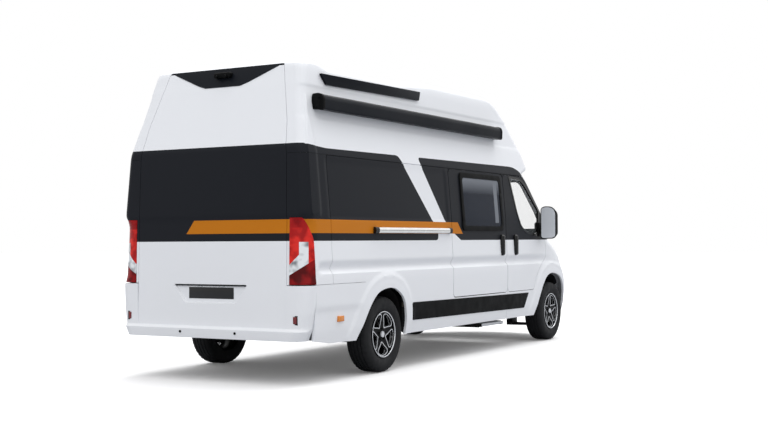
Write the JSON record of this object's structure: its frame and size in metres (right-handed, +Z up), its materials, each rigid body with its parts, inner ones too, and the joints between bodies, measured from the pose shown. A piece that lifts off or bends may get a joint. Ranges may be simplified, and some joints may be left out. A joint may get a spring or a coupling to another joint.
{
  "type": "high-roof camper van",
  "caption": "White high-roof camper van with dark rear panels, side awning, roof rails, sliding side door, hinged tailgate, bonnet and cab doors, and steered front wheels",
  "frame": {"origin": "bottom centre of the bounding box, on the ground under the middle of the vehicle", "axes": "+Z up, the front faces -Y, the vehicle's left side is +X"},
  "size_m": [2.508, 6.33, 2.8704],
  "materials": {
    "chassis_paint": "satin",
    "floor_board": "matt",
    "white_paint": "gloss",
    "roof_shell": "gloss gel coat",
    "rear_panels": "gloss",
    "tinted_glass": "polished, tinted",
    "clear_glass": "polished",
    "lamp_clear": "polished",
    "lamp_red": "polished",
    "black_plastic": "grained",
    "awning_case": "satin anthracite",
    "rail_black": "satin",
    "light_strip": "polished",
    "hatch_plastic": "polished",
    "engine_cast": "as cast",
    "exhaust_steel": "dull",
    "suspension_steel": "satin",
    "seat_fabric": "woven",
    "step_aluminium": "ribbed",
    "tyre": "matt",
    "alloy": "machined and painted"
  },
  "bodies": {
    "body": {"chassis_frame": "chassis_paint", "floor_pan": "floor_board", "cab_shell": "white_paint", "door_pillars": "white_paint", "high_roof": "roof_shell", "side_panel_left": "white_paint", "side_panel_right": "white_paint", "rear_corners": "rear_panels", "sliding_door": "white_paint", "side_windows": "tinted_glass", "wheel_housings": "black_plastic", "front_bumper": "white_paint", "headlights": "lamp_clear", "rear_bumper": "white_paint", "tail_lamps": "lamp_red", "windscreen": "clear_glass", "awning": "awning_case", "roof_rails": "rail_black", "light_bar": "light_strip", "engine": "engine_cast", "fuel_tank": "black_plastic", "exhaust": "exhaust_steel", "rear_axle": "chassis_paint", "leaf_springs": "suspension_steel", "dashboard": "black_plastic", "cab_seats": "seat_fabric"},
    "bonnet_panel": {"bonnet": "white_paint"},
    "door_left": {"cab_door_left": "white_paint", "door_glass_left": "clear_glass", "mirror_left": "black_plastic"},
    "door_right": {"cab_door_right": "white_paint", "door_glass_right": "clear_glass", "mirror_right": "black_plastic"},
    "gate": {"tailgate": "rear_panels"},
    "roof_hatch": {"hatch_lid": "hatch_plastic"},
    "hand_wheel": {"steering_wheel": "black_plastic"},
    "step": {"side_step": "step_aluminium"},
    "steer_unit_left": {"knuckle_left": "suspension_steel"},
    "steer_unit_right": {"knuckle_right": "suspension_steel"},
    "wheel_front_left": {"tyre_front_left": "tyre", "rim_front_left": "alloy"},
    "wheel_front_right": {"tyre_front_right": "tyre", "rim_front_right": "alloy"},
    "wheel_rear_left": {"tyre_rear_left": "tyre", "rim_rear_left": "alloy"},
    "wheel_rear_right": {"tyre_rear_right": "tyre", "rim_rear_right": "alloy"}
  },
  "joints": [
    {"name": "steer_left", "type": "hinge", "parent": "body", "child": "steer_unit_left", "pos_m": [0.775, -2.217, 0.225], "axis": [-0.1822, 0, 0.9833], "range_deg": [-35, 35]},
    {"name": "steer_right", "type": "hinge", "parent": "body", "child": "steer_unit_right", "pos_m": [-0.775, -2.217, 0.225], "axis": [0.1822, 0, 0.9833], "range_deg": [-35, 35]},
    {"name": "steering_wheel_turn", "type": "hinge", "parent": "body", "child": "hand_wheel", "pos_m": [0.43, -1.4026, 1.202], "axis": [0, 0.6157, 0.788], "range_deg": [-540, 540]},
    {"name": "wheel_spin_front_left", "type": "hinge", "parent": "steer_unit_left", "child": "wheel_front_left", "pos_m": [0.905, -2.217, 0.35], "axis": [1, 0, 0], "continuous": true},
    {"name": "wheel_spin_front_right", "type": "hinge", "parent": "steer_unit_right", "child": "wheel_front_right", "pos_m": [-0.905, -2.217, 0.35], "axis": [1, 0, 0], "continuous": true},
    {"name": "wheel_spin_rear_left", "type": "hinge", "parent": "body", "child": "wheel_rear_left", "pos_m": [0.895, 1.818, 0.35], "axis": [1, 0, 0], "continuous": true},
    {"name": "wheel_spin_rear_right", "type": "hinge", "parent": "body", "child": "wheel_rear_right", "pos_m": [-0.895, 1.818, 0.35], "axis": [1, 0, 0], "continuous": true},
    {"name": "door_left_hinge", "type": "hinge", "parent": "body", "child": "door_left", "pos_m": [1.031, -2.039, 1.11], "axis": [0, 0, -1], "range_deg": [0, 70]},
    {"name": "door_right_hinge", "type": "hinge", "parent": "body", "child": "door_right", "pos_m": [-1.031, -2.039, 1.11], "axis": [0, 0, 1], "range_deg": [0, 70]},
    {"name": "bonnet_hinge", "type": "hinge", "parent": "body", "child": "bonnet_panel", "pos_m": [0, -2.666, 1.264], "axis": [-1, 0, 0], "range_deg": [0, 60]},
    {"name": "tailgate_hinge", "type": "hinge", "parent": "body", "child": "gate", "pos_m": [0, 2.87, 2.74], "axis": [1, 0, 0], "range_deg": [0, 85]},
    {"name": "hatch_hinge", "type": "hinge", "parent": "body", "child": "roof_hatch", "pos_m": [0, 0.723, 2.8444], "axis": [1, 0, 0], "range_deg": [0, 50]},
    {"name": "step_slide", "type": "slide", "parent": "body", "child": "step", "axis": [-1, 0, 0], "range_m": [0, 0.25]}
  ],
  "couplings": [
    {"joint": "steer_right", "follows": "steer_left", "ratio": 1},
    {"joint": "steering_wheel_turn", "follows": "steer_left", "ratio": 14}
  ]
}
